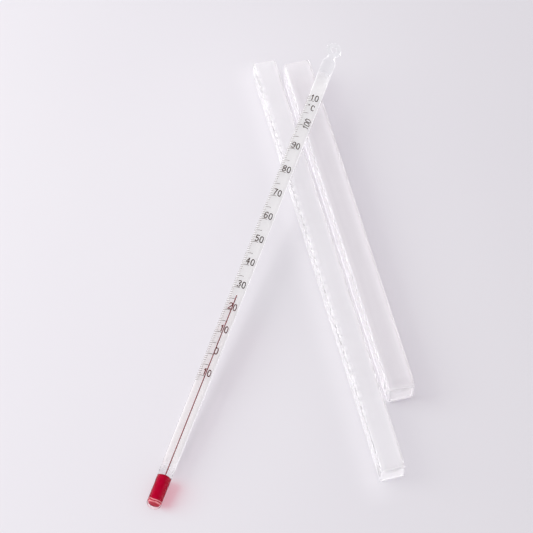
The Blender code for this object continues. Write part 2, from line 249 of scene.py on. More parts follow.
class Graph:
    """Writes the node tree of a material or world; sockets are passed as values."""

    def __init__(self, owner, output="OutputMaterial"):
        owner.use_nodes = True
        self.owner = owner
        self.tree = owner.node_tree
        self.tree.nodes.clear()
        self.output = self.node(output)
        self.object_coord = None

    def feed(self, socket, value):
        if isinstance(value, bpy.types.NodeSocket):
            self.tree.links.new(value, socket)
        else:
            socket.default_value = value

    def node(self, kind, inputs=None, **settings):
        node = self.tree.nodes.new("ShaderNode" + kind)
        for key, value in settings.items():
            setattr(node, key, value)
        for key, value in (inputs or {}).items():
            self.feed(node.inputs[key], value)
        return node

    def shader(self, kind, inputs=None):
        return self.node(kind, inputs).outputs[0]

    def math(self, op, a, b=None, clamp=False):
        inputs = {0: a} if b is None else {0: a, 1: b}
        return self.node("Math", inputs, operation=op, use_clamp=clamp).outputs[0]

    def add(self, a, b):
        return self.math("ADD", a, b)

    def sub(self, a, b):
        return self.math("SUBTRACT", a, b)

    def mul(self, a, b):
        return self.math("MULTIPLY", a, b)

    def remap(self, value, source, target=(0.0, 1.0)):
        """Clamped linear map of the source span onto the target span."""
        return self.node("MapRange", {
            "Value": value, "From Min": source[0], "From Max": source[1],
            "To Min": target[0], "To Max": target[1]}).outputs[0]

    def squared_from(self, value, centre, reach):
        """Square of the distance from centre, in units of reach."""
        distance = self.mul(self.sub(value, centre), 1.0 / reach)
        return self.mul(distance, distance)

    def bell(self, squared):
        return self.math("POWER", math.e, self.mul(squared, -1.0))

    def ramp(self, fac, stops):
        node = self.node("ValToRGB", {"Fac": fac})
        elements = node.color_ramp.elements
        while len(elements) < len(stops):
            elements.new(0.5)
        for element, (position, colour) in zip(elements, stops):
            element.position = position
            element.color = (*colour, 1.0)
        return node.outputs["Color"]

    def coord(self):
        if self.object_coord is None:
            self.object_coord = self.node("TexCoord").outputs["Object"]
        return self.object_coord

    def split(self, vector):
        return self.node("SeparateXYZ", {0: vector}).outputs

    def place(self):
        """X, Y and Z of the shaded point in the object's frame."""
        return self.split(self.coord())

    def noise(self, scale, detail=3.0, rough=0.5, stretch=None):
        vector = self.coord()
        if stretch is not None:
            vector = self.node("Mapping", {"Scale": stretch, "Vector": vector}
                               ).outputs["Vector"]
        return self.node("TexNoise", {"Scale": scale, "Detail": detail,
                                      "Roughness": rough, "Vector": vector}
                         ).outputs["Fac"]

    def facing(self, blend):
        return self.node("LayerWeight", {"Blend": blend}).outputs["Facing"]

    def bump(self, height, strength, distance):
        return self.node("Bump", {"Strength": strength, "Distance": distance,
                                  "Height": height}).outputs["Normal"]

    def mix_colour(self, fac, a, b, blend='MIX'):
        return self.node("Mix", {"Factor": fac, 6: a, 7: b},
                         data_type='RGBA', blend_type=blend).outputs[2]

    def mix(self, fac, a, b):
        return self.shader("MixShader", {0: fac, 1: a, 2: b})

    def add_shader(self, a, b):
        return self.shader("AddShader", {0: a, 1: b})

    def emission(self, colour, strength):
        return self.shader("Emission", {"Color": (*colour, 1), "Strength": strength})

    def transparent(self, colour):
        return self.shader("BsdfTransparent", {"Color": (*colour, 1)})

    def straight_through(self):
        """1 for shadow and diffuse rays, which pass clear pieces straight."""
        path = self.node("LightPath").outputs
        return self.math("MAXIMUM", path["Is Shadow Ray"], path["Is Diffuse Ray"])

    def finish(self, surface, volume=None):
        self.feed(self.output.inputs["Surface"], surface)
        if volume is not None:
            self.feed(self.output.inputs["Volume"], volume)
        return self.owner


def material_graph(name, viewport=None):
    graph = Graph(bpy.data.materials.new(name))
    if viewport is not None:
        graph.owner.diffuse_color = viewport
    return graph


# ---------------------------------------------------------------- materials
def glass_passing(g, middle, border):
    """Clear to shadow rays, which lose more where they only graze the glass."""
    tint = g.ramp(g.facing(0.5), [(0.10, middle), (0.65, border)])
    z = g.place()["Z"]
    # light that has met the thread is a little red
    cast = g.ramp(g.mul(z, 1.0 / RAMP_SPAN),
                  [(0.36, (1.0, 0.955, 0.972)), (0.44, WHITE)])
    dark = g.shader("BsdfTransparent", {
        "Color": g.mix_colour(1.0, tint, cast, 'MULTIPLY')})
    pale = g.transparent((0.97, 0.97, 0.97))
    # the blown bulb is thin, and the raised end's shadow is very soft
    bulb_end = 20.0 * MM
    thin = g.math("MAXIMUM", g.remap(z, RAISED, target=(0.0, 0.8)),
                  g.math("LESS_THAN", z, bulb_end))
    shadow_ray = g.node("LightPath").outputs["Is Shadow Ray"]
    paleness = 0.8                            # for rays other than shadow rays
    soft = g.mul(g.sub(1.0, shadow_ray), paleness)
    return g.mix(g.math("MAXIMUM", thin, soft), dark, pale)


def glass_border(g, place):
    """Strength of the painted highlight, an emission on the bright borders, most in the drawn
    neck and the ring.
    """
    rim = g.ramp(g.facing(0.5), [(0.52, BLACK), (0.80, WHITE)])
    backfacing = g.node("NewGeometry").outputs["Backfacing"]
    rim = g.mul(rim, g.sub(1.0, backfacing))
    strength = g.remap(place["Z"], source=(255.0 * MM, 280.0 * MM),
                       target=(0.24, 0.26))
    # below the neck only the right border gets the painted highlight, and the bulb has none
    neck_start, rod_start = 262.0 * MM, 21.5 * MM
    right_side = g.remap(place["X"], source=(-1.0 * MM, 1.0 * MM))
    rim = g.mul(rim, g.math("MAXIMUM", right_side,
                            g.math("GREATER_THAN", place["Z"], neck_start)))
    rod = g.math("GREATER_THAN", place["Z"], rod_start)
    return g.mul(rim, g.mul(strength, rod))


def clear_glass_material():
    g = material_graph("clear_glass_fine", viewport=(0.93, 0.94, 0.95, 0.35))
    place = g.place()
    max_roughness = 0.035
    streaks = g.noise(scale=700.0, detail=2.0, rough=0.4, stretch=(1.0, 1.0, 0.05))
    # the blown bulb is thinner and bends light less than the solid rod
    bulb_ior, rod_ior = 1.28, 1.5
    glass = g.shader("BsdfGlass", {
        "Color": (0.985, 0.992, 0.99, 1),
        "IOR": g.remap(place["Z"], source=(14.5 * MM, 18.4 * MM),
                       target=(bulb_ior, rod_ior)),
        "Roughness": g.mul(g.noise(scale=260.0), max_roughness),
        "Normal": g.bump(streaks, strength=0.05, distance=0.0002)})
    # painted glow: a faint emission brightens the drawn rod above the bulb, and the painted rim
    # highlight is added to it
    rod_painted_glow = g.remap(place["Z"], source=(20.5 * MM, 30.0 * MM), target=(0.0, 0.035))
    pale = g.emission((1.0, 0.97, 0.985), g.add(rod_painted_glow, glass_border(g, place)))
    # painted red glint: emission in streaks on the solid nose under the spirit, where it would
    # gather red light
    nose = g.remap(place["Z"], source=(3.2 * MM, 0.9 * MM), target=(0.0, 0.22))
    contrast, offset = 1.6, -0.30
    streak = g.add(g.mul(g.noise(scale=520.0, detail=1.0, rough=0.4,
                                 stretch=(0.5, 0.5, 2.2)), contrast), offset)
    nose_painted_glint = g.emission((1.0, 0.56, 0.62), g.mul(nose, streak))
    shown = g.add_shader(g.add_shader(glass, pale), nose_painted_glint)
    passing = glass_passing(g, middle=(0.93, 0.93, 0.935), border=(0.62, 0.62, 0.63))
    return g.finish(g.mix(g.straight_through(), shown, passing))


def gathered_light(g):
    """Painted highlight: pale wavy crescents, as emission, where the fill's rounded lower end
    would gather light.
    """
    z = g.place()["Z"]
    wave = g.mul(g.noise(scale=260.0, detail=1.0, rough=0.4), 1.8 * MM)

    def crescent(height, width):
        return g.bell(g.squared_from(g.sub(z, wave), FILL_BOTTOM + height, width))

    upper = crescent(height=1.15 * MM, width=0.24 * MM)
    lower_share = 0.85
    lower = g.mul(crescent(height=0.10 * MM, width=0.28 * MM), lower_share)
    broken = g.ramp(g.noise(scale=420.0, detail=2.0),
                    [(0.35, (0.45, 0.45, 0.45)), (0.60, WHITE)])
    return g.mul(g.math("MAXIMUM", upper, lower), broken)


def spirit_fill_material():
    """Deep red spirit; darker where the line of sight only grazes it."""
    g = material_graph("red_spirit_fill", viewport=(0.62, 0.0, 0.06, 1))
    glass = g.shader("BsdfGlass", {"IOR": 0.98, "Roughness": 0.0,
                                   "Color": (0.9, 0.10, 0.16, 1)})
    tone = g.ramp(g.noise(scale=420.0), [(0.3, (0.215, 0.0, 0.010)),
                                         (0.7, (0.275, 0.0, 0.022))])
    shade = g.ramp(g.facing(0.35), [(0.0, WHITE), (0.45, (0.80, 0.80, 0.85)),
                                    (0.85, (0.22, 0.30, 0.75))])
    deep = g.mix_colour(1.0, tone, shade, 'MULTIPLY')
    # painted glow: the body emits its own deep red, which evens out the lamp's shading, with the
    # painted crescents mixed in
    painted_glow = g.mix_colour(gathered_light(g), deep, (1.0, 0.60, 0.64, 1))
    body = g.shader("BsdfPrincipled", {
        "Roughness": 0.3, "Specular IOR Level": 0.0, "Base Color": deep,
        "Emission Color": painted_glow, "Emission Strength": 0.92})
    absorption = g.shader("VolumeAbsorption", {"Density": 240.0,
                                               "Color": (0.995, 0.0, 0.15, 1)})
    body_share = 0.82
    shown = g.mix(body_share, glass, body)
    passing = g.transparent((0.88, 0.66, 0.74))
    return g.finish(g.mix(g.straight_through(), shown, passing), absorption)


def spirit_thread_material():
    g = material_graph("red_spirit_thread", viewport=(0.4, 0.0, 0.05, 1))
    tone = g.ramp(g.noise(scale=90.0, detail=2.0), [(0.3, (0.19, 0.002, 0.008)),
                                                    (0.7, (0.26, 0.003, 0.014))])
    return g.finish(g.shader("BsdfPrincipled", {"Roughness": 0.25,
                                                "Base Color": tone}))


def enamel_material():
    g = material_graph("white_enamel_fine")
    tone = g.ramp(g.noise(scale=160.0, detail=4.0, rough=0.55),
                  [(0.25, (0.93, 0.915, 0.92)), (0.75, (0.97, 0.955, 0.96))])
    grain = g.noise(scale=2500.0, detail=2.0)
    # painted glow: the emission stands in for light that opal glass passes on from its back
    body = g.shader("BsdfPrincipled", {
        "Roughness": 0.4, "Base Color": tone,
        "Emission Strength": 0.20, "Emission Color": (1, 0.985, 0.99, 1),
        "Normal": g.bump(grain, strength=0.15, distance=0.00003)})
    # the strip thins out towards its two ends
    z = g.place()["Z"]
    ends = g.ramp(g.mul(z, 1.0 / RAMP_SPAN),
                  [(0.0, BLACK), (0.078, BLACK), (0.105, WHITE),
                   (0.865, WHITE), (0.921, BLACK), (1.0, BLACK)])
    end_cover = 0.18                          # how much of the ends stays visible
    cover = g.add(g.mul(ends, 0.82), end_cover)
    # shadow and diffuse rays lose less to it, least at the raised end
    lost = g.remap(z, RAISED, target=(-0.55, -0.88))
    seen = g.mul(g.add(g.mul(g.straight_through(), lost), 1.0), cover)
    return g.finish(g.mix(seen, g.shader("BsdfTransparent"), body))


def ink_material(name, dark, light):
    g = material_graph(name, viewport=(*dark, 1))
    worn = g.noise(scale=2600.0, detail=3.0, rough=0.6)
    return g.finish(g.shader("BsdfPrincipled", {
        "Roughness": 0.55,
        "Base Color": g.ramp(worn, [(0.30, dark), (0.72, light)]),
        "Normal": g.bump(worn, strength=0.3, distance=0.00001)}))


def thread_cast_material():
    """Painted red reflection: the faint red that the thread throws on the opal strip behind it,
    as a tinted clear sheet.
    """
    g = material_graph("painted_red_reflection", viewport=(1.0, 0.9, 0.9, 0.2))
    across = g.mul(g.math("ABSOLUTE", g.place()["X"]), 1.0 / CAST_HALF_WIDTH)
    unevenness = 0.15
    uneven = g.add(across, g.mul(g.noise(scale=300.0, detail=2.0), unevenness))
    tint = g.ramp(uneven, [(0.35, (1.0, 0.930, 0.940)), (1.0, WHITE)])
    return g.finish(g.shader("BsdfTransparent", {"Color": tint}))


def sleeve_haze(g, edge_highlight, flow, milk, edge_highlight_milk):
    """Share of milky plastic over clear; less on faces turned to the lamp, painted shade that
    keeps them from looking brighter.
    """
    amount = g.math("ADD", g.mul(edge_highlight, edge_highlight_milk),
                    g.mul(g.add(flow, 0.5), milk), clamp=True)
    normal = g.split(g.node("NewGeometry").outputs["Normal"])
    lamp_side_painted_shade = g.remap(normal["X"], source=(-0.85, -0.25), target=(0.40, 1.0))
    most = 0.92
    return g.mul(g.math("MINIMUM", amount, most), lamp_side_painted_shade)


def sleeve_glow(g, edge_highlight, piped, walls):
    """Strength of the painted glow, an emission for the light that travels along a wall and
    leaves it.
    """
    normal = g.split(g.node("NewGeometry").outputs["Normal"])
    # the painted glow is strongest on edges turned from the lamp, broken by noise
    side = g.remap(normal["X"], source=(-0.5, 0.5))
    contrast, offset = 1.2, 0.35
    broken = g.add(g.mul(g.noise(scale=150.0, detail=2.0, rough=0.5,
                                 stretch=(1.0, 1.0, 1.0)), contrast), offset)
    upright = g.remap(g.math("ABSOLUTE", normal["X"]), source=(0.55, 0.95),
                      target=(0.008, walls))
    # painted glow on rounded lower edges, for light from the table under them
    under = g.remap(normal["Z"], source=(0.05, -0.30), target=(0.0, 0.20))
    # painted glow on surfaces turned to -Y, as round the closed ends
    front = g.remap(normal["Y"], source=(-0.20, -0.60), target=(0.0, 0.045))
    lent = g.add(g.add(upright, under), front)
    return g.add(lent, g.mul(g.mul(edge_highlight, piped), g.mul(side, broken)))


def sleeve_material(name, tint, milk, edge_highlight_milk, milk_colour, rough, shade,
                    piped, walls):
    """Clear moulded styrene: hazy, with painted highlights, whiter haze and glow, along its
    rounded edges and teeth.

    milk is the haze of the walls and edge_highlight_milk the extra white haze painted on edges
    as a highlight, shade is the colour of light passed on, and piped and walls are the strengths
    of the painted glow of edges and side walls.
    """
    g = material_graph(name, viewport=(*milk_colour, 0.4))
    flow = g.noise(scale=26.0, detail=4.0, rough=0.55, stretch=(1.0, 0.12, 1.0))
    fine = g.noise(scale=900.0, detail=2.0, rough=0.5)
    scratches = g.noise(scale=420.0, detail=3.0, rough=0.7,
                        stretch=(1.0, 0.03, 1.0))
    flow_share, fine_share = 1.0, 0.05
    relief = g.add(g.mul(flow, flow_share), g.mul(fine, fine_share))
    least_rough = rough * 0.4
    glass = g.shader("BsdfGlass", {
        "IOR": 1.28, "Color": (*tint, 1),
        "Roughness": g.add(g.mul(scratches, rough), least_rough),
        "Normal": g.bump(relief, strength=0.08, distance=0.0010)})
    milk_input = {"Color": (*milk_colour, 1)}
    solid_share = 0.6
    haze = g.mix(solid_share, g.shader("BsdfTranslucent", milk_input),
                 g.shader("BsdfDiffuse", milk_input))
    edge_highlight = g.node("Attribute", attribute_name="edge_highlight").outputs["Fac"]
    shown = g.mix(sleeve_haze(g, edge_highlight, flow, milk, edge_highlight_milk), glass, haze)
    painted_glow = g.emission((1.0, 0.99, 1.0), sleeve_glow(g, edge_highlight, piped, walls))
    return g.finish(g.mix(g.straight_through(), g.add_shader(shown, painted_glow),
                          g.transparent(shade)))


MAT_GLASS = clear_glass_material()
MAT_FILL = spirit_fill_material()
MAT_THREAD = spirit_thread_material()
MAT_ENAMEL = enamel_material()
MAT_TICKS = ink_material("scale_ink_ticks", dark=(0.10, 0.085, 0.075),
                         light=(0.17, 0.145, 0.13))
MAT_NUMERALS = ink_material("scale_ink_numerals", dark=(0.055, 0.035, 0.026),
                            light=(0.10, 0.07, 0.055))
# the low numerals are coloured redder: painted red light from the thread beside them
MAT_NUMERALS_LOW = ink_material("scale_ink_over_thread", dark=(0.115, 0.016, 0.012),
                                light=(0.18, 0.032, 0.028))
MAT_OUTER = sleeve_material(
    "outer_sleeve_plastic_fine", tint=(0.999, 0.997, 0.999), milk=0.34,
    edge_highlight_milk=0.20, milk_colour=(0.985, 0.975, 0.98), rough=0.10,
    shade=(0.934, 0.926, 0.934), piped=0.045, walls=0.055)
MAT_INNER = sleeve_material(
    "inner_sleeve_plastic_fine", tint=(0.999, 0.999, 1.0), milk=0.34,
    edge_highlight_milk=0.18, milk_colour=(0.99, 0.985, 0.99), rough=0.09,
    shade=(0.958, 0.955, 0.960), piped=0.035, walls=0.018)


# ------------------------------------------------------- the glass thermometer
NOSE_HEIGHT = 3.3 * MM
BULB_STATIONS = (6, 9, 12, 15, 17.5)          # mm up the straight bulb
WAIST_HEIGHT = BULB_TOP + 0.15 * MM
WAIST_LENGTH = 3.4 * MM
WAIST_DIP = 0.10 * MM
ROD_START = 24.0 * MM
ROD_STEP = 6.0 * MM
RING_FOOT = RING_HEIGHT - RING_MAJOR          # middle of the ring's lowest part


def glass_profile():
    """Nose, bulb, waist, rod and drawn neck; the neck ends inside the ring."""
    profile = [(0.0, 0.0)] + rounded_end(BULB_R, NOSE_HEIGHT)
    profile += [(BULB_R, z * MM) for z in BULB_STATIONS]
    for i in range(13):
        k = i / 12.0
        radius = BULB_R + (STEM_R - BULB_R) * ease(k)
        profile.append((radius - WAIST_DIP * math.exp(-((k - 0.5) / 0.16) ** 2),
                        WAIST_HEIGHT + (k - 0.5) * WAIST_LENGTH))
    z = ROD_START
    while z < SHOULDER - 1.0 * MM:
        profile.append((STEM_R, z))
        z += ROD_STEP
    profile.append((STEM_R, SHOULDER - 0.4 * MM))
    for i in range(1, 15):
        k = i / 14.0
        profile.append((STEM_R + (NECK_R - STEM_R) * ease(k),
                        SHOULDER + (STEM_TOP - SHOULDER) * k))
    return profile + [(NECK_R * 1.02, (STEM_TOP * 2 + RING_FOOT) / 3),
                      (NECK_R * 0.98, RING_FOOT - 0.1 * MM),
                      (NECK_R * 0.6, RING_FOOT + 0.35 * MM),
                      (0.0, RING_FOOT + 0.45 * MM)]


def hanging_ring(round_count=96, tube_count=40):
    """Torus that is a little thicker where it leaves the neck."""
    verts, faces = [], []
    for i in range(round_count):
        turn = 2 * math.pi * i / round_count
        swell = 1.0 + 0.05 * max(0.0, -math.sin(turn)) ** 2
        for j in range(tube_count):
            angle = 2 * math.pi * j / tube_count
            radius = RING_MAJOR + RING_MINOR * math.cos(angle)
            verts.append((radius * math.cos(turn),
                          RING_MINOR * swell * math.sin(angle),
                          RING_HEIGHT + radius * math.sin(turn)))
    for i in range(round_count):
        here, following = i * tube_count, (i + 1) % round_count * tube_count
        for j in range(tube_count):
            k = (j + 1) % tube_count
            faces.append((here + j, here + k, following + k, following + j))
    return verts, faces


def join_ring(body, ring):
    """Bakes the union with the ring into the body's mesh and drops the ring."""
    union = body.modifiers.new("ring", 'BOOLEAN')
    union.operation = 'UNION'
    union.solver = 'EXACT'
    union.object = ring
    bpy.context.view_layer.update()
    depsgraph = bpy.context.evaluated_depsgraph_get()
    joined = bpy.data.meshes.new_from_object(body.evaluated_get(depsgraph))
    body.modifiers.clear()
    separate = body.data
    body.data = joined
    joined.name = "thermometer_glass"
    bpy.data.meshes.remove(separate)
    bpy.data.objects.remove(ring, do_unlink=True)
    return joined


def soften_seam(mesh):
    """Welds the joined mesh and smooths it where the neck meets the ring."""
    bm = bmesh.new()
    bm.from_mesh(mesh)
    bmesh.ops.remove_doubles(bm, verts=bm.verts, dist=1e-7)
    seam = [v for v in bm.verts
            if STEM_TOP - 0.2 * MM < v.co.z < RING_FOOT + 0.9 * MM
            and math.hypot(v.co.x, v.co.y) < NECK_R * 1.35]
    for _ in range(10):
        bmesh.ops.smooth_vert(bm, verts=seam, factor=0.4, use_axis_x=True,
                              use_axis_y=True, use_axis_z=True)
    bmesh.ops.recalc_face_normals(bm, faces=bm.faces)
    bm.to_mesh(mesh)
    bm.free()
    mesh.shade_smooth()


def build_glass():
    """One piece of glass: blown bulb, waist, rod, drawn neck and ring."""
    body = add_mesh("thermometer_glass", *lathe(glass_profile(), 112), MAT_GLASS,
                    STEM)
    ring = add_mesh("ring_tool", *hanging_ring(), matrix=STEM)
    soften_seam(join_ring(body, ring))
    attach(body, "thermometer")
    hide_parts("stem_glass", "bulb_glass", "hanging_ring")


FILL_R = 2.83 * MM
FILL_ROUND = 1.5 * MM                         # height of the rounded lower end


def build_fill():
    """The spirit in the bulb, with its shoulders and the throat to the bore."""
    top = FILL_CAD_TOP - 0.1 * MM
    straight = top - FILL_BOTTOM - FILL_ROUND - 1.1 * MM
    profile = [(0.0, FILL_BOTTOM)] + rounded_end(FILL_R, FILL_ROUND, FILL_BOTTOM)
    profile += [(FILL_R, FILL_BOTTOM + FILL_ROUND + straight * k)
                for k in (0.2, 0.4, 0.6, 0.8)]
    # shoulders: (share of the fill's radius, depth below its top in mm)
    profile += [(FILL_R * share, top - depth * MM)
                for share, depth in ((1.0, 1.0), (0.97, 0.62), (0.86, 0.30),
                                     (0.66, 0.10), (0.36, 0.0))]
    profile += [(0.16 * MM, top + 0.25 * MM), (0.10 * MM, top + 0.7 * MM),
                (0.0, top + 0.7 * MM)]
    add_mesh("bulb_spirit_fill", *lathe(profile, 72), MAT_FILL, STEM,
             body="thermometer", slot="red_spirit", hides=("bulb_spirit",))


def follow_reading(obj):
    """Bakes the piece's placement into its mesh."""
    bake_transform(obj)


THREAD_R = 0.195 * MM
THREAD_OFFSET = (0.0, -0.30 * MM)             # towards the reader
THREAD_STEPS = 150


def build_column():
    """The spirit's thread: its top at the reading, its foot at the bulb."""
    foot = FILL_CAD_TOP + 0.75 * MM
    profile = [(0.0, foot)]
    for i in range(THREAD_STEPS + 1):
        profile.append((THREAD_R,
                        foot + (LEVEL - 0.12 * MM - foot) * i / THREAD_STEPS))
    profile += [(THREAD_R * 0.8, LEVEL - 0.05 * MM),
                (THREAD_R * 0.4, LEVEL - 0.01 * MM), (0.0, LEVEL)]
    obj = add_mesh("spirit_column", *lathe(profile, 20, THREAD_OFFSET), MAT_THREAD,
                   STEM)
    follow_reading(obj)
    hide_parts("spirit_thread", "spirit_meniscus")


CAST_HALF_WIDTH = 1.35 * MM
CAST_HALF_DEPTH = 0.08 * MM
CAST_BACK = 0.55 * MM                         # behind the stem's axis
CAST_STEPS = 60
CAST_SIDES = 24


def build_cast():
    """Flat elliptic rod of painted red reflection behind the thread, as high as it."""
    foot = FILL_CAD_TOP + 1.5 * MM
    section = []
    for j in range(CAST_SIDES):
        angle = 2 * math.pi * j / CAST_SIDES
        section.append((CAST_HALF_WIDTH * math.cos(angle),
                        CAST_BACK + CAST_HALF_DEPTH * math.sin(angle)))
    stations = [foot + (LEVEL - 0.3 * MM - foot) * i / CAST_STEPS
                for i in range(CAST_STEPS + 1)]
    verts, faces = prism_sides(section, stations)
    faces.append(tuple(reversed(range(CAST_SIDES))))
    faces.append(tuple(range(CAST_STEPS * CAST_SIDES, len(verts))))
    obj = add_mesh("spirit_painted_reflection", verts, faces, thread_cast_material(), STEM)
    follow_reading(obj)


ENAMEL_BOW = 0.10 * MM
ENAMEL_COLUMNS = 20
ENAMEL_STEPS = 60


def build_enamel():
    """Opal strip fused in behind the bore, slightly bowed like the rod."""
    half = (ENAMEL_HI[0] - ENAMEL_LO[0]) / 2
    thick = ENAMEL_HI[1] - ENAMEL_LO[1]
    middle = (ENAMEL_HI[1] + ENAMEL_LO[1]) / 2
    front, back = [], []
    for i in range(ENAMEL_COLUMNS + 1):
        x = -half + 2 * half * i / ENAMEL_COLUMNS
        k = x / half
        depth, bowed = thick / 2 * (1 - k ** 6), ENAMEL_BOW * (0.5 - k * k)
        front.append((x, middle - depth + bowed))
        back.append((x, middle + depth * 0.9 + 0.02 * MM + bowed))
    section = front + back[::-1]
    n = len(section)
    low, high = ENAMEL_LO[2], ENAMEL_HI[2]
    stations = [low + (high - low) * i / ENAMEL_STEPS
                for i in range(ENAMEL_STEPS + 1)]
    verts, faces = prism_sides(section, stations)
    faces.append(tuple(range(n)))
    faces.append(tuple(reversed(range(len(verts) - n, len(verts)))))
    obj = add_mesh("enamel_strip", verts, faces, MAT_ENAMEL, STEM,
                   body="thermometer", slot="white_enamel",
                   hides=("enamel_backing",))
    obj.data.set_sharp_from_angle(angle=math.radians(50))


# ---------------------------------------------------------- the printed scale
INK_IN = STEM_R + 0.004 * MM
INK_OUT = STEM_R + 0.030 * MM


def arc(degrees):
    """Arc length round the stem; 0 is the reader's line, plus is to the right."""
    return math.radians(degrees) * STEM_R


def on_stem(across, z, radius):
    """Point at an arc length round the stem from the reader's line."""
    angle = across / STEM_R
    return (radius * math.sin(angle), -radius * math.cos(angle), z)


# round stroke ends: distances past the last point, in half widths
END_STEPS = (0.3, 0.6, 0.85, 0.97)


def stroke_end(point, outward, normal, half):
    """Stations of a round end, from the stroke outwards."""
    return [(point + outward * half * k, normal, half * math.sqrt(1 - k * k))
            for k in END_STEPS]


def ribbon(verts, faces, path, half, closed=False, taper=True):
    """Adds a thin solid stroke along path, a list of (arc length, z)."""
    pts = [Vector(p) for p in path]
    n = len(pts)
    stations = []
    for i in range(n):
        if closed:
            along = pts[(i + 1) % n] - pts[i - 1]
        else:
            along = pts[min(i + 1, n - 1)] - pts[max(i - 1, 0)]
        along.normalize()
        width = half
        if closed or 0 < i < n - 1:
            # keep the stroke's width in a bend
            segment = (pts[(i + 1) % n] - pts[i]).normalized()
            width = half / max(0.55, abs(segment.dot(along)))
        stations.append((pts[i], Vector((-along.y, along.x)), width))
    if not closed and taper:
        head = stroke_end(pts[0], (pts[0] - pts[1]).normalized(),
                          stations[0][1], half)
        tail = stroke_end(pts[-1], (pts[-1] - pts[-2]).normalized(),
                          stations[-1][1], half)
        stations = head[::-1] + stations + tail
    base = len(verts)
    for point, normal, width in stations:
        a, b = point + normal * width, point - normal * width
        verts += [on_stem(a.x, a.y, INK_IN), on_stem(a.x, a.y, INK_OUT),
                  on_stem(b.x, b.y, INK_OUT), on_stem(b.x, b.y, INK_IN)]
    count = len(stations)
    for i in range(count if closed else count - 1):
        here, following = base + 4 * i, base + 4 * ((i + 1) % count)
        for j in range(4):
            k = (j + 1) % 4
            faces.append((here + j, here + k, following + k, following + j))
    if not closed:
        last = base + 4 * (count - 1)
        faces.append((base, base + 1, base + 2, base + 3))
        faces.append((last + 3, last + 2, last + 1, last))


DENSE_STEP = 0.16            # longest piece of a straight stroke, in mm


def dense(path):
    """The path with its straight pieces divided up."""
    out = [Vector(path[0])]
    for a, b in zip(path, path[1:]):
        a, b = Vector(a), Vector(b)
        pieces = max(1, int(math.ceil((b - a).length / DENSE_STEP)))
        out += [a.lerp(b, i / pieces) for i in range(1, pieces + 1)]
    return out


def bow(cx, cy, rx, ry, from_deg, to_deg, count=14, power=2.0):
    """Points on a (super)ellipse; degrees from +x, counter-clockwise."""
    pts = []
    for i in range(count + 1):
        angle = math.radians(from_deg + (to_deg - from_deg) * i / count)
        c, s = math.cos(angle), math.sin(angle)
        pts.append((cx + rx * math.copysign(abs(c) ** (2 / power), c),
                    cy + ry * math.copysign(abs(s) ** (2 / power), s)))
    return pts


HALF_W, HALF_H = 0.86, 1.78  # half width and height of a numeral, in mm


def glyph(ch):
    """Strokes of one character: (points in mm about its middle, closed)."""
    w, h = HALF_W, HALF_H
    if ch == "0":
        return [(bow(0, 0, w, h, 0, 348, 30, 2.5), True)]
    if ch == "1":
        return [(dense([(-0.42, h - 0.78), (-0.05, h - 0.28), (0.16, h),
                        (0.16, -h)]), False)]
    if ch == "2":
        top = bow(0, h - 0.80, w, 0.80, 165, -25, 16)
        return [(top + dense([top[-1], (-w, -h), (w, -h)])[1:], False)]
    if ch == "3":
        top = bow(-0.02, h - 0.78, w * 0.92, 0.78, 150, -80, 14)
        low = bow(-0.02, -h + 0.86, w, 0.86, 80, -150, 16)
        return [(top + low, False)]
    if ch == "4":
        return [(dense([(0.34, -h), (0.34, h), (-w, -0.52), (w, -0.52)]), False)]
    if ch == "5":
        low = bow(-0.02, -h + 1.05, w, 1.05, 125, -145, 20)
        return [(dense([(w * 0.86, h), (-0.55, h), (-0.66, 0.28)]) + low, False)]
    if ch == "6":
        bowl = bow(0, -h + 0.98, w, 0.98, 180, -180, 24)
        top = bow(0.10, h - 1.15, w + 0.10, 1.15, 42, 180, 12)
        joint = dense([top[-1], (-w, -h + 0.98)])
        return [(top + joint[1:] + bowl[1:-1], False)]
    if ch == "7":
        return [(dense([(-w, h), (w, h), (0.25, 0.1), (-0.12, -h)]), False)]
    if ch == "8":
        top = bow(0, h - 0.78, w * 0.90, 0.78, -90, 258, 22)
        low = bow(0, -h + 0.88, w, 0.88, 90, 438, 24)
        return [(top, True), (low, True)]
    if ch == "9":
        bowl = bow(0, h - 0.98, w, 0.98, 0, 360, 24)
        low = bow(-0.10, -h + 1.15, w + 0.10, 1.15, 0, -138, 12)
        return [(bowl[:-1] + dense([bowl[-1], low[0]]) + low[1:], False)]
    if ch == "C":
        return [(bow(0, 0, w, h, 42, 318, 26, 2.4), False)]
    if ch == "o":
        return [(bow(0, 0, 0.40, 0.34, 0, 340, 16), True)]
    raise ValueError(ch)


def put_glyph(verts, faces, ch, across, up, half, turned=False, stretch=1.0):
    """Prints one character; a turned one reads up the stem."""
    for pts, closed in glyph(ch):
        path = []
        for x, y in pts:
            y *= stretch
            if turned:
                x, y = -y, x
            path.append((across + x * MM, up + y * MM))
        ribbon(verts, faces, path, half, closed)


# (marks at multiples of, degrees round the stem of the right end, half width)
TICKS = ((10, -10.0, 0.160 * MM), (5, -15.0, 0.145 * MM), (1, -50.0, 0.132 * MM))
TICK_LEFT = arc(-92.0)
TICK_PIECES = 12


def build_ticks():
    verts, faces = [], []
    for t in range(-12, 113):
        degrees, half = next((d, w) for every, d, w in TICKS if t % every == 0)
        length = arc(degrees) - TICK_LEFT
        path = [(TICK_LEFT + length * i / TICK_PIECES, mark_position(t))
                for i in range(TICK_PIECES + 1)]
        ribbon(verts, faces, path, half, taper=False)
    add_mesh("scale_ticks", verts, faces, MAT_TICKS, STEM, smooth=False,
             body="thermometer", slot="scale_ink")


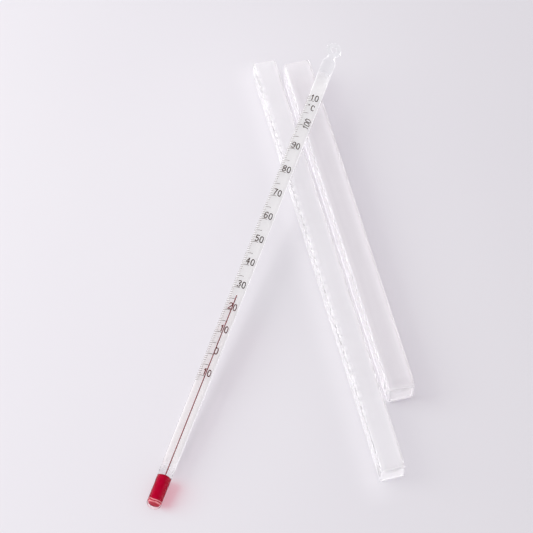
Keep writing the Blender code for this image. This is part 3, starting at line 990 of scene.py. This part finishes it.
NUMERAL_HALF = 0.29 * MM                      # half width of a numeral's stroke
NUMERAL_STAND = 2.47 * MM                     # middle of a numeral over its mark
DIGIT_STEP = arc(39.0)
TURNED_PITCH = 2.35          # pitch up the stem of the turned digits, in mm
TURNED_DROP = 1.05           # how far their middle is lowered, in mm
SHORT_TEXT = {-10: "10", 110: "10"}           # printed without sign or hundreds


def put_number(verts, faces, t):
    """Number on its long mark; up the stem the column runs to the left."""
    up = mark_position(t) + NUMERAL_STAND
    last = arc(14.4 - 0.09 * t)
    if t == 100:
        for k, ch in enumerate("100"):
            put_glyph(verts, faces, ch, last + 0.10 * MM,
                      up + ((k - 1) * TURNED_PITCH - TURNED_DROP) * MM,
                      NUMERAL_HALF * 0.9, turned=True, stretch=0.92)
    elif t == 0:
        put_glyph(verts, faces, "0", arc(1.5), up, NUMERAL_HALF)
    else:
        text = SHORT_TEXT.get(t, str(t))
        put_glyph(verts, faces, text[0], last - DIGIT_STEP, up, NUMERAL_HALF)
        put_glyph(verts, faces, text[1], last, up, NUMERAL_HALF)


def put_unit(verts, faces):
    """The degree sign and C, above the 100."""
    up = mark_position(106.0) + NUMERAL_STAND
    across = arc(3.0)
    put_glyph(verts, faces, "C", across, up, NUMERAL_HALF, stretch=0.94)
    put_glyph(verts, faces, "o", across - DIGIT_STEP, up + 1.45 * MM, 0.20 * MM)


def build_numerals():
    """Numbers up to 20, beside the red thread, get a redder colour than those above: painted red
    light from the thread.
    """
    verts, faces = [], []
    for t in range(-10, 30, 10):
        put_number(verts, faces, t)
    add_mesh("scale_numerals_low", verts, faces, MAT_NUMERALS_LOW, STEM,
             smooth=False, body="thermometer", slot="scale_ink")
    verts, faces = [], []
    for t in range(30, 111, 10):
        put_number(verts, faces, t)
    put_unit(verts, faces)
    add_mesh("scale_numerals", verts, faces, MAT_NUMERALS, STEM, smooth=False,
             body="thermometer", slot="scale_ink", hides=("printed_scale",))


# ------------------------------------------------------------- the sleeves
def sleeve_frame(node):
    """Frame at the closed end, length, and widths of closed end and mouth."""
    found = points(node)
    y0, y1 = found[:, 1].min(), found[:, 1].max()
    closed = found[found[:, 1] < y0 + 6.0 * MM]
    mouth = found[found[:, 1] > y1 - 1.0 * MM]
    x0 = (closed[:, 0].min() + closed[:, 0].max()) / 2
    x1 = (mouth[:, 0].min() + mouth[:, 0].max()) / 2
    length = y1 - y0
    yaw = math.atan2(x0 - x1, length)
    matrix = Matrix.Translation((x0, y0, 0)) @ Matrix.Rotation(yaw, 4, 'Z')
    return matrix, length, closed[:, 2].max(), mouth[:, 2].max()


CORNER_STEPS = 8             # pieces of each rounded corner of a section
SIDE_STEPS = 6               # pieces of each straight side of a section


def contour(half, radius):
    """Rounded square, counter-clockwise, as (x, z) about its centre."""
    pts = []
    radius = max(radius, 0.02 * MM)
    c = half - radius
    corners = [(c, c, 0), (-c, c, 90), (-c, -c, 180), (c, -c, 270)]
    for k, (cx, cz, start) in enumerate(corners):
        for i in range(CORNER_STEPS + 1):
            angle = math.radians(start + 90.0 * i / CORNER_STEPS)
            pts.append((cx + radius * math.cos(angle),
                        cz + radius * math.sin(angle)))
        nx, nz, start = corners[(k + 1) % 4]
        a = pts[-1]
        b = (nx + radius * math.cos(math.radians(start)),
             nz + radius * math.sin(math.radians(start)))
        for i in range(1, SIDE_STEPS):
            pts.append((a[0] + (b[0] - a[0]) * i / SIDE_STEPS,
                        a[1] + (b[1] - a[1]) * i / SIDE_STEPS))
    return pts


# the two long edges that are cut: upper -X and lower +X, as (x, z)
DIAGONALS = ((-math.sqrt(0.5), math.sqrt(0.5)), (math.sqrt(0.5), -math.sqrt(0.5)))

# notches across the outside of those edges, counted from the mouth
NOTCH_START = 5.6 * MM
NOTCH_PITCH = 5.5 * MM
NOTCH_COUNT = 42
NOTCH_DEPTH = 0.45 * MM
# (mm back from the notch's start, share of its depth)
NOTCH_STEEP = ((-0.02, 0.0), (0.06, 0.22), (0.22, 0.88), (0.34, 1.0))
# (pitches back from the notch's start, share of its depth)
NOTCH_SLOPE = ((0.45, 1.0), (0.53, 0.86), (0.74, 0.14), (0.82, 0.0))

# lug across the inside of those edges, near the mouth
LUG_BACK = 1.6 * MM
LUG_LENGTH = 2.6 * MM
LUG_REACH = 0.62 * MM


def notch_stations(body, length):
    """Outside stations as (y, cut), with the notches in place of body rings."""
    lowest = length - NOTCH_START - NOTCH_COUNT * NOTCH_PITCH
    stations = [(y, 0.0) for y in body if y < lowest - 1.0 * MM]
    for i in range(NOTCH_COUNT):
        y = length - NOTCH_START - i * NOTCH_PITCH
        stations += [(y - back * MM, NOTCH_DEPTH * share)
                     for back, share in NOTCH_STEEP]
        stations += [(y - back * NOTCH_PITCH, NOTCH_DEPTH * share)
                     for back, share in NOTCH_SLOPE]
    stations.append((length - 1.5 * MM, 0.0))
    return sorted(stations)


def lug_stations(length):
    """Inside stations of the lug as (y, cut), from the mouth inwards."""
    y = length - LUG_BACK
    return [(y + 0.12 * MM, 0.0), (y, LUG_REACH * 0.15),
            (y - 0.2 * MM, LUG_REACH), (y - LUG_LENGTH * 0.6, LUG_REACH),
            (y - LUG_LENGTH, LUG_REACH * 0.25),
            (y - LUG_LENGTH - 0.25 * MM, 0.0)]


def quarter_turns(steps):
    """Sine and cosine through a quarter turn."""
    angles = [0.5 * math.pi * i / steps for i in range(steps + 1)]
    return [(math.sin(a), math.cos(a)) for a in angles]


def build_sleeve(name, node, mat, wall, corner, notched=False, lugged=False):
    """Thin square tube, closed at y = 0; "edge" marks its painted highlights, whiter haze and
    glow on edges and teeth.
    """
    matrix, length, closed_width, mouth_width = sleeve_frame(node)
    verts, rings, edge_highlight = [], [], []

    def half_at(y):
        return (closed_width + (mouth_width - closed_width) * y / length) / 2

    def add_ring(y, inset, cut=0.0, radius=None, cap=False):
        half = half_at(y)
        if radius is None:
            radius = corner - inset
        reach = (half - corner) * math.sqrt(2) + corner - inset
        # 1 at the closed end and at the mouth, fading to 0 along the sleeve
        closed_edge = max(0.0, 1.0 - y / corner)
        rim_edge = max(0.0, 1.0 - (length - y) / (0.5 * MM))
        start = len(verts)
        for k, (x, z) in enumerate(contour(half - inset, radius)):
            # painted highlight: brighter along rounded corners, round the closed end, at the rim
            # and in the cut teeth
            part = k % (CORNER_STEPS + SIDE_STEPS)
            bright = 0.0
            if part <= CORNER_STEPS:
                bright = 0.26 + 0.26 * math.sin(math.pi * part / CORNER_STEPS)
                bright *= 1.0 - closed_edge
            bright = max(bright, math.sin(math.pi * closed_edge), rim_edge)
            if cap:
                bright = 0.0
            if cut > 0.0:
                for dx, dz in DIAGONALS:
                    over = x * dx + z * dz - (reach - cut)
                    if over > 0:
                        x, z = x - dx * over, z - dz * over
                        bright = 1.15 * min(1.0, over / (0.15 * MM))
            verts.append((x, y, half + z))
            edge_highlight.append(bright)
        rings.append(list(range(start, len(verts))))

    def add_cap(y, half, inner_half):
        """Flat ring of an end wall, at the given distance from its centre."""
        add_ring(y, half - inner_half, radius=inner_half * 0.25, cap=True)

    def add_pole(y):
        rings.append([len(verts)])
        verts.append((0.0, y, half_at(0)))
        edge_highlight.append(0.0)

    # the closed end: its centre, flat, and rounding from the side to the flat
    add_pole(0.0)
    for k in (0.35, 0.7):
        add_cap(0.0, half_at(0), (half_at(0) - corner) * k)
    for sine, cosine in quarter_turns(8):
        add_ring(corner * (1 - sine), corner * (1 - cosine))

    # the outside, up to the mouth
    spacing = 5.0 * MM
    body = [corner + 2.0 * MM + i * spacing
            for i in range(int((length - corner - 4 * MM) / spacing))]
    outside = notch_stations(body, length) if notched else [(y, 0.0) for y in body]
    for y, cut in outside:
        add_ring(y, 0.0, cut)

    # over the rim
    lip = 0.22 * MM
    for sine, cosine in quarter_turns(4):
        add_ring(length - lip + lip * sine, lip * (1 - cosine))
    for sine, cosine in quarter_turns(4):
        add_ring(length - lip + lip * cosine, wall - lip * (1 - sine))

    # back down the inside
    inside = [(length - 1.0 * MM, 0.0)]
    if lugged:
        inside += lug_stations(length)
    lowest = inside[-1][0] - 2.0 * MM
    inside += [(y, 0.0) for y in reversed(body) if y < lowest]
    for y, cut in inside:
        add_ring(y, wall, cut)

    # the rounded inner floor
    floor = wall * 1.15
    rounding = 0.6 * MM
    for sine, cosine in quarter_turns(4):
        add_ring(floor + rounding * (1 - sine), wall + rounding * (1 - cosine),
                 radius=max(corner - wall, 0.3 * MM))
    for k in (0.6, 0.3):
        add_cap(floor, half_at(0), (half_at(0) - wall - rounding) * k)
    add_pole(floor)

    # the rings run the other way round from a lathe's
    faces = [(first, *reversed(rest)) for first, *rest in ring_faces(rings)]
    obj = add_mesh(name, verts, faces, mat, matrix)
    layer = obj.data.attributes.new("edge_highlight", 'FLOAT', 'POINT')
    layer.data.foreach_set("value", np.array(edge_highlight, np.float32))
    obj.data.set_sharp_from_angle(angle=math.radians(38))
    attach(obj, node)
    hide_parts(node)


# --------------------------------------------------------------- assembly
build_glass()
build_fill()
build_column()
build_cast()
build_enamel()
build_ticks()
build_numerals()
build_sleeve("outer_sleeve_shell", "outer_sleeve", MAT_OUTER,
             wall=0.75 * MM, corner=1.6 * MM, lugged=True)
build_sleeve("inner_sleeve_shell", "inner_sleeve", MAT_INNER,
             wall=0.80 * MM, corner=1.0 * MM, notched=True)


# ------------------------------------------------------------------ stage
def sleeve_ends(node):
    """Places of the mouth and closed end on the table, length, closed width."""
    matrix, length, closed_width, _ = sleeve_frame(node)
    return (matrix @ Vector((0, length, 0)), matrix @ Vector((0, 0, 0)),
            length, closed_width)


def case_light(g, place):
    """Strength of the painted light, the table's emission, for the light that the two sleeves
    throw on it.
    """

    def band(x, reach, y, fade):
        """Bell across x, within a span about y that fades out at its ends."""
        from_middle = g.math("ABSOLUTE", g.sub(place["Y"], y))
        return g.mul(g.bell(g.squared_from(place["X"], x, reach)),
                     g.remap(from_middle, source=fade))

    # painted light: broad band along the inner sleeve's left side
    mouth, closed, length, width = sleeve_ends("inner_sleeve")
    half = length / 2 + 6 * MM
    broad = g.mul(band(x=(mouth.x + closed.x - width) / 2 - 1.5 * MM,
                       reach=8.0 * MM, y=(mouth.y + closed.y) / 2,
                       fade=(half + 8 * MM, half - 8 * MM)), 0.105)
    broad_strength = 0.80
    # painted light: narrow line along the outer sleeve's left foot
    mouth, closed, length, width = sleeve_ends("outer_sleeve")
    narrow_strength = 0.20
    narrow = g.mul(band(x=(mouth.x + closed.x) / 2 - width / 2 + 0.1 * MM,
                        reach=1.2 * MM, y=(mouth.y + closed.y) / 2,
                        fade=(length / 2 + 1 * MM, length / 2 - 3 * MM)),
                   narrow_strength)
    return g.add(narrow, g.mul(broad, broad_strength))


def table_material():
    g = material_graph("table_paper")
    tone = g.ramp(g.noise(scale=5.0, detail=3.0, rough=0.5),
                  [(0.3, (0.775, 0.760, 0.795)), (0.7, (0.787, 0.773, 0.803))])
    place = g.place()
    mouth = sleeve_ends("inner_sleeve")[0]

    def patch(x, y, reach_x, reach_y, amount):
        squared = g.add(g.squared_from(place["X"], x, reach_x),
                        g.squared_from(place["Y"], y, reach_y))
        return g.mul(g.bell(squared), amount)

    # painted pools of light: the paper's colour is paler in two patches, placed from the inner
    # sleeve's mouth
    near = patch(mouth.x - 0.010, mouth.y - 0.028, reach_x=0.066, reach_y=0.075,
                 amount=0.052)
    far = patch(mouth.x - 0.080, mouth.y - 0.155, reach_x=0.075, reach_y=0.110,
                amount=0.022)
    painted_light_gain = g.add(g.add(near, far), 1.0)
    painted_pools_tone = g.node("VectorMath", {0: tone, "Scale": painted_light_gain}, operation='SCALE')
    grain = g.noise(scale=900.0, detail=3.0)
    return g.finish(g.shader("BsdfPrincipled", {
        "Roughness": 0.75, "Specular IOR Level": 0.2,
        "Base Color": painted_pools_tone.outputs[0],
        "Emission Color": (1.0, 0.98, 1.0, 1),
        "Emission Strength": case_light(g, place),
        "Normal": g.bump(grain, strength=0.05, distance=0.0002)}))


TABLE_SIZE = 3.0
TABLE_CELLS = 12
TABLE_Z = -0.00002                            # just clear of the sleeves


def build_table():
    n = TABLE_CELLS
    verts = [(TABLE_SIZE * (i / n - 0.5), TABLE_SIZE * (j / n - 0.5), TABLE_Z)
             for j in range(n + 1) for i in range(n + 1)]
    faces = [(j * (n + 1) + i, j * (n + 1) + i + 1,
              (j + 1) * (n + 1) + i + 1, (j + 1) * (n + 1) + i)
             for j in range(n) for i in range(n)]
    table = add_mesh("table", verts, faces, table_material(), smooth=False)
    # recalculated normals of an open sheet may point either way
    if table.data.polygons[0].normal.z < 0:
        table.data.flip_normals()


def build_world():
    """Soft white room: bright low down, dark overhead in reflections."""
    world = bpy.data.worlds.new("soft_room")
    SCENE.world = world
    g = Graph(world, "OutputWorld")
    direction = g.split(g.node("TexCoord").outputs["Generated"])
    height = g.remap(direction["Z"], source=(-1.0, 1.0))

    def room(stops, strength):
        return g.shader("Background", {"Color": g.ramp(height, stops),
                                       "Strength": strength})

    fill = room([(0.45, (0.82, 0.795, 0.83)), (0.75, (0.98, 0.955, 0.99))],
                strength=0.61)
    through = room([(0.48, (0.86, 0.85, 0.88)), (0.56, (1.0, 0.99, 1.0)),
                    (0.80, (0.93, 0.92, 0.94)), (1.0, (0.80, 0.79, 0.82))],
                   strength=1.12)
    mirrored = room([(0.48, (0.74, 0.73, 0.76)), (0.60, (0.80, 0.79, 0.81)),
                     (0.76, (0.46, 0.45, 0.47)), (0.92, (0.14, 0.14, 0.14))],
                    strength=1.0)
    path = g.node("LightPath").outputs
    surface = g.mix(path["Is Transmission Ray"], fill, through)
    g.finish(g.mix(path["Is Glossy Ray"], surface, mirrored))


KEY_OFFSET = Vector((-1.29, 0.46, 0.84))      # from the middle of the CAD
KEY_SIZE = 1.05
KEY_POWER = 24.6
KEY_COLOUR = (1.0, 0.995, 0.995)


def build_key():
    """Large square lamp to the left of the thermometer and above it."""
    middle = (CAD_LO + CAD_HI) / 2
    location = middle + KEY_OFFSET
    data = bpy.data.lights.new("key_left", 'AREA')
    data.shape = 'RECTANGLE'
    data.size = KEY_SIZE
    data.size_y = KEY_SIZE
    data.energy = KEY_POWER
    data.color = KEY_COLOUR
    key = bpy.data.objects.new("key_left", data)
    SCENE.collection.objects.link(key)
    key.location = location
    key.rotation_euler = (middle - location).to_track_quat('-Z', 'Y').to_euler()
    key.visible_glossy = False


CAMERA_AZIMUTH = math.radians(-14.0)          # from -Y, plus is towards +X
CAMERA_ELEVATION = math.radians(58.91)
CAMERA_DISTANCE = 0.92887
CAMERA_TARGET = Vector((-0.04835, -0.01239, 0.0))
CAMERA_LENS = 114.03                          # in mm, like the sensor
CAMERA_SENSOR = 36.0


def build_camera():
    data = bpy.data.cameras.new("photo_camera")
    data.sensor_width = CAMERA_SENSOR
    data.lens = CAMERA_LENS
    data.clip_start = 0.01
    data.clip_end = 20.0
    camera = bpy.data.objects.new("photo_camera", data)
    SCENE.collection.objects.link(camera)
    level = math.cos(CAMERA_ELEVATION)
    back = Vector((math.sin(CAMERA_AZIMUTH) * level,
                   -math.cos(CAMERA_AZIMUTH) * level,
                   math.sin(CAMERA_ELEVATION)))
    camera.location = CAMERA_TARGET + back * CAMERA_DISTANCE
    camera.rotation_mode = 'QUATERNION'
    camera.rotation_quaternion = (-back).to_track_quat('-Z', 'Y')
    SCENE.camera = camera


build_table()
build_world()
build_key()
build_camera()

SCENE.view_settings.view_transform = 'Standard'
SCENE.view_settings.look = 'None'
SCENE.cycles.max_bounces = 24
SCENE.cycles.transmission_bounces = 24
SCENE.cycles.transparent_max_bounces = 32
SCENE.cycles.glossy_bounces = 8
SCENE.cycles.diffuse_bounces = 4
SCENE.cycles.caustics_reflective = False
SCENE.cycles.caustics_refractive = False

bpy.context.view_layer.update()
